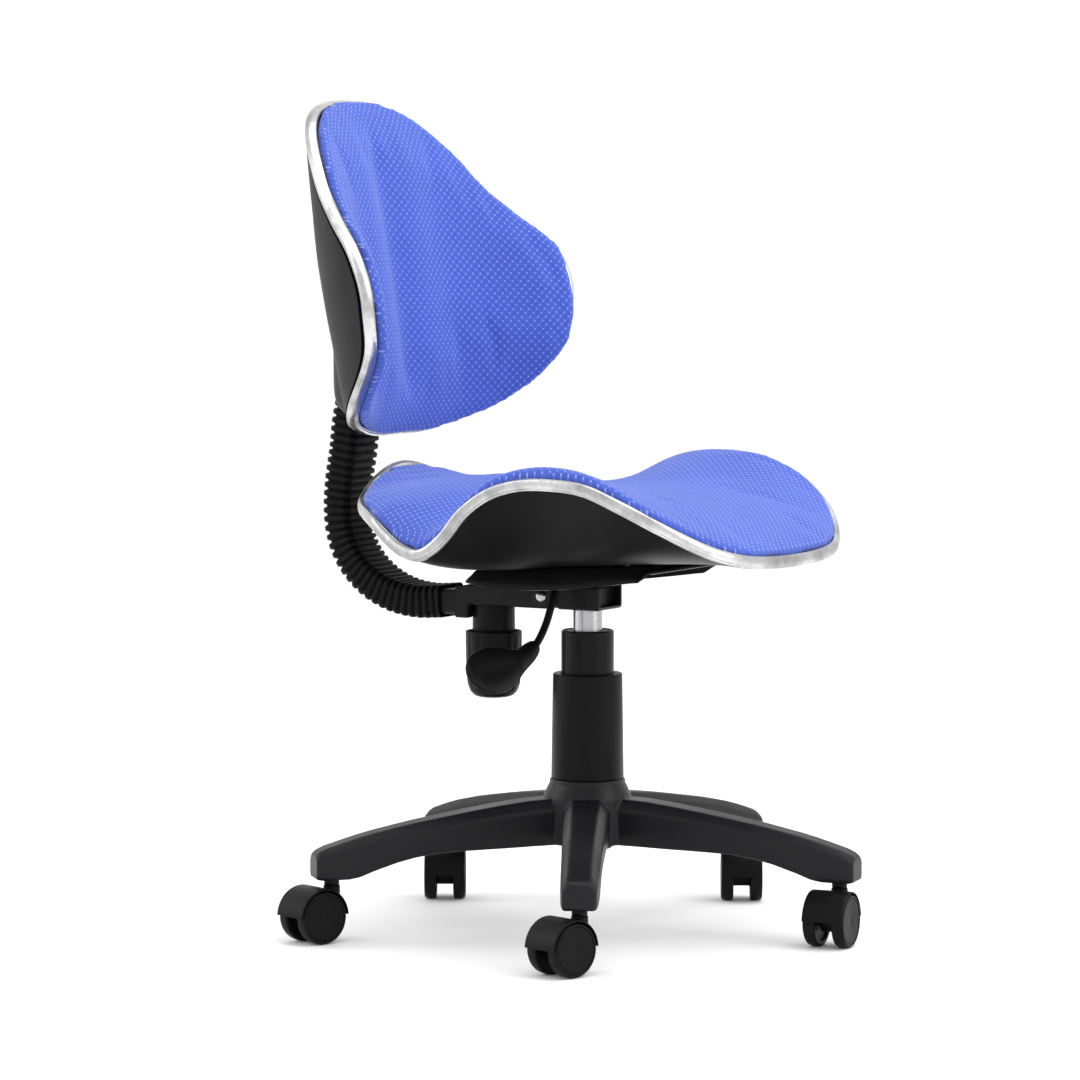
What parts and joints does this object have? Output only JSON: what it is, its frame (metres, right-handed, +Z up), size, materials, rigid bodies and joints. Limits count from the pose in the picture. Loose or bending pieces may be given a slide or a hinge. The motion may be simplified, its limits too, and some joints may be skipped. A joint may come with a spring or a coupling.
{
  "type": "swivel office chair",
  "caption": "Armless swivel task chair: wrapped back on an L-shaped bar, saddle seat, gas lift, tilt mechanism and a star base on twin-wheel casters.",
  "frame": {"origin": "on the floor, under the column's axis", "axes": "+Z up the column, -Y the way the sitter faces, +X to the sitter's left"},
  "size_m": [0.5404, 0.5614, 0.7876],
  "materials": {
    "nylon": "moulded black nylon, fine satin grain",
    "shell_plastic": "smooth moulded black plastic, slight sheen",
    "black_steel": "black powder coat on steel",
    "bright_steel": "bright zinc or ground steel",
    "chrome_trim": "metallised plastic edge trim, softly scuffed",
    "rubber": "matt black rubber",
    "inner_board": "plain moulded inner board",
    "fabric": "blue mesh fabric with a small diamond weave and light dots"
  },
  "bodies": {
    "base": {"base_star": "nylon", "caster_stem_1": "bright_steel", "caster_stem_2": "bright_steel", "caster_stem_3": "bright_steel", "caster_stem_4": "bright_steel", "caster_stem_5": "bright_steel", "column_cover": "nylon", "gas_tube": "black_steel", "guide_bush": "nylon", "thrust_bearing": "bright_steel"},
    "lift_rod": {"piston_rod": "bright_steel", "retaining_clip": "bright_steel"},
    "seat": {"gas_cylinder": "bright_steel", "seat_plate": "black_steel", "lift_housing": "black_steel", "pivot_bolt": "bright_steel", "tension_bolt": "bright_steel", "tension_spring": "bright_steel", "seat_shell": "shell_plastic", "seat_board": "inner_board", "seat_pad": "fabric", "seat_trim": "chrome_trim", "seat_bolt_1": "bright_steel", "seat_bolt_2": "bright_steel", "seat_bolt_3": "bright_steel", "seat_bolt_4": "bright_steel"},
    "release": {"release_pin": "bright_steel"},
    "lever": {"lever_rod": "black_steel", "lever_grip": "nylon"},
    "back": {"tilt_bracket": "black_steel", "knob_collar": "nylon", "back_bar": "black_steel", "bar_bellows": "rubber", "back_board": "inner_board", "back_shell": "shell_plastic", "back_pad": "fabric", "back_trim": "chrome_trim", "back_stud_plate": "bright_steel"},
    "knob": {"tension_knob": "nylon", "spring_seat": "bright_steel"},
    "caster_1": {"caster_hood_1": "nylon", "caster_axle_1": "bright_steel"},
    "wheel_left_1": {"caster_wheel_left_1": "nylon"},
    "wheel_right_1": {"caster_wheel_right_1": "nylon"},
    "caster_2": {"caster_hood_2": "nylon", "caster_axle_2": "bright_steel"},
    "wheel_left_2": {"caster_wheel_left_2": "nylon"},
    "wheel_right_2": {"caster_wheel_right_2": "nylon"},
    "caster_3": {"caster_hood_3": "nylon", "caster_axle_3": "bright_steel"},
    "wheel_left_3": {"caster_wheel_left_3": "nylon"},
    "wheel_right_3": {"caster_wheel_right_3": "nylon"},
    "caster_4": {"caster_hood_4": "nylon", "caster_axle_4": "bright_steel"},
    "wheel_left_4": {"caster_wheel_left_4": "nylon"},
    "wheel_right_4": {"caster_wheel_right_4": "nylon"},
    "caster_5": {"caster_hood_5": "nylon", "caster_axle_5": "bright_steel"},
    "wheel_left_5": {"caster_wheel_left_5": "nylon"},
    "wheel_right_5": {"caster_wheel_right_5": "nylon"}
  },
  "joints": [
    {"name": "seat_swivel", "type": "hinge", "parent": "base", "child": "lift_rod", "pos_m": [0, 0, 0.08], "axis": [0, 0, 1], "continuous": true},
    {"name": "seat_lift", "type": "slide", "parent": "lift_rod", "child": "seat", "axis": [0, 0, 1], "range_m": [0, 0.11]},
    {"name": "back_tilt", "type": "hinge", "parent": "seat", "child": "back", "pos_m": [0, 0.035, 0.318], "axis": [-1, 0, 0], "range_deg": [0, 5], "stiffness_Nm_per_rad": 120, "springref_deg": -6.88, "deforming": ["tension_spring"]},
    {"name": "lever_pull", "type": "hinge", "parent": "seat", "child": "lever", "pos_m": [-0.0195, 0, 0.3357], "axis": [0, 1, 0], "range_deg": [0, 8], "stiffness_Nm_per_rad": 1.5},
    {"name": "release_press", "type": "slide", "parent": "seat", "child": "release", "axis": [0, 0, -1], "range_m": [0, 0.0028]},
    {"name": "knob_turn", "type": "hinge", "parent": "seat", "child": "knob", "pos_m": [0, 0.104, 0.25], "axis": [0, 0, 1], "range_deg": [-720, 720]},
    {"name": "caster_swivel_1", "type": "hinge", "parent": "base", "child": "caster_1", "pos_m": [-0.21993, -0.11887, 0.045], "axis": [0, 0, 1], "continuous": true},
    {"name": "wheel_spin_left_1", "type": "hinge", "parent": "caster_1", "child": "wheel_left_1", "pos_m": [-0.24097, -0.11243, 0.025], "axis": [-0.2924, -0.9563, 0], "continuous": true},
    {"name": "wheel_spin_right_1", "type": "hinge", "parent": "caster_1", "child": "wheel_right_1", "pos_m": [-0.24097, -0.11243, 0.025], "axis": [-0.2924, -0.9563, 0], "continuous": true},
    {"name": "caster_swivel_2", "type": "hinge", "parent": "base", "child": "caster_2", "pos_m": [0.04509, -0.2459, 0.045], "axis": [0, 0, 1], "continuous": true},
    {"name": "wheel_spin_left_2", "type": "hinge", "parent": "caster_2", "child": "wheel_left_2", "pos_m": [0.02325, -0.24858, 0.025], "axis": [0.1219, -0.9925, 0], "continuous": true},
    {"name": "wheel_spin_right_2", "type": "hinge", "parent": "caster_2", "child": "wheel_right_2", "pos_m": [0.02325, -0.24858, 0.025], "axis": [0.1219, -0.9925, 0], "continuous": true},
    {"name": "caster_swivel_3", "type": "hinge", "parent": "base", "child": "caster_3", "pos_m": [0.2478, -0.03311, 0.045], "axis": [0, 0, 1], "continuous": true},
    {"name": "wheel_spin_left_3", "type": "hinge", "parent": "caster_3", "child": "wheel_left_3", "pos_m": [0.22875, -0.04411, 0.025], "axis": [0.5, -0.866, 0], "continuous": true},
    {"name": "wheel_spin_right_3", "type": "hinge", "parent": "caster_3", "child": "wheel_right_3", "pos_m": [0.22875, -0.04411, 0.025], "axis": [0.5, -0.866, 0], "continuous": true},
    {"name": "caster_swivel_4", "type": "hinge", "parent": "base", "child": "caster_4", "pos_m": [0.10806, 0.22544, 0.045], "axis": [0, 0, 1], "continuous": true},
    {"name": "wheel_spin_left_4", "type": "hinge", "parent": "caster_4", "child": "wheel_left_4", "pos_m": [0.08901, 0.21444, 0.025], "axis": [0.5, -0.866, 0], "continuous": true},
    {"name": "wheel_spin_right_4", "type": "hinge", "parent": "caster_4", "child": "wheel_right_4", "pos_m": [0.08901, 0.21444, 0.025], "axis": [0.5, -0.866, 0], "continuous": true},
    {"name": "caster_swivel_5", "type": "hinge", "parent": "base", "child": "caster_5", "pos_m": [-0.18101, 0.17244, 0.045], "axis": [0, 0, 1], "continuous": true},
    {"name": "wheel_spin_left_5", "type": "hinge", "parent": "caster_5", "child": "wheel_left_5", "pos_m": [-0.20169, 0.17996, 0.025], "axis": [-0.342, -0.9397, 0], "continuous": true},
    {"name": "wheel_spin_right_5", "type": "hinge", "parent": "caster_5", "child": "wheel_right_5", "pos_m": [-0.20169, 0.17996, 0.025], "axis": [-0.342, -0.9397, 0], "continuous": true}
  ],
  "couplings": [
    {"joint": "release_press", "follows": "lever_pull", "m_per_rad": 0.0195}
  ]
}
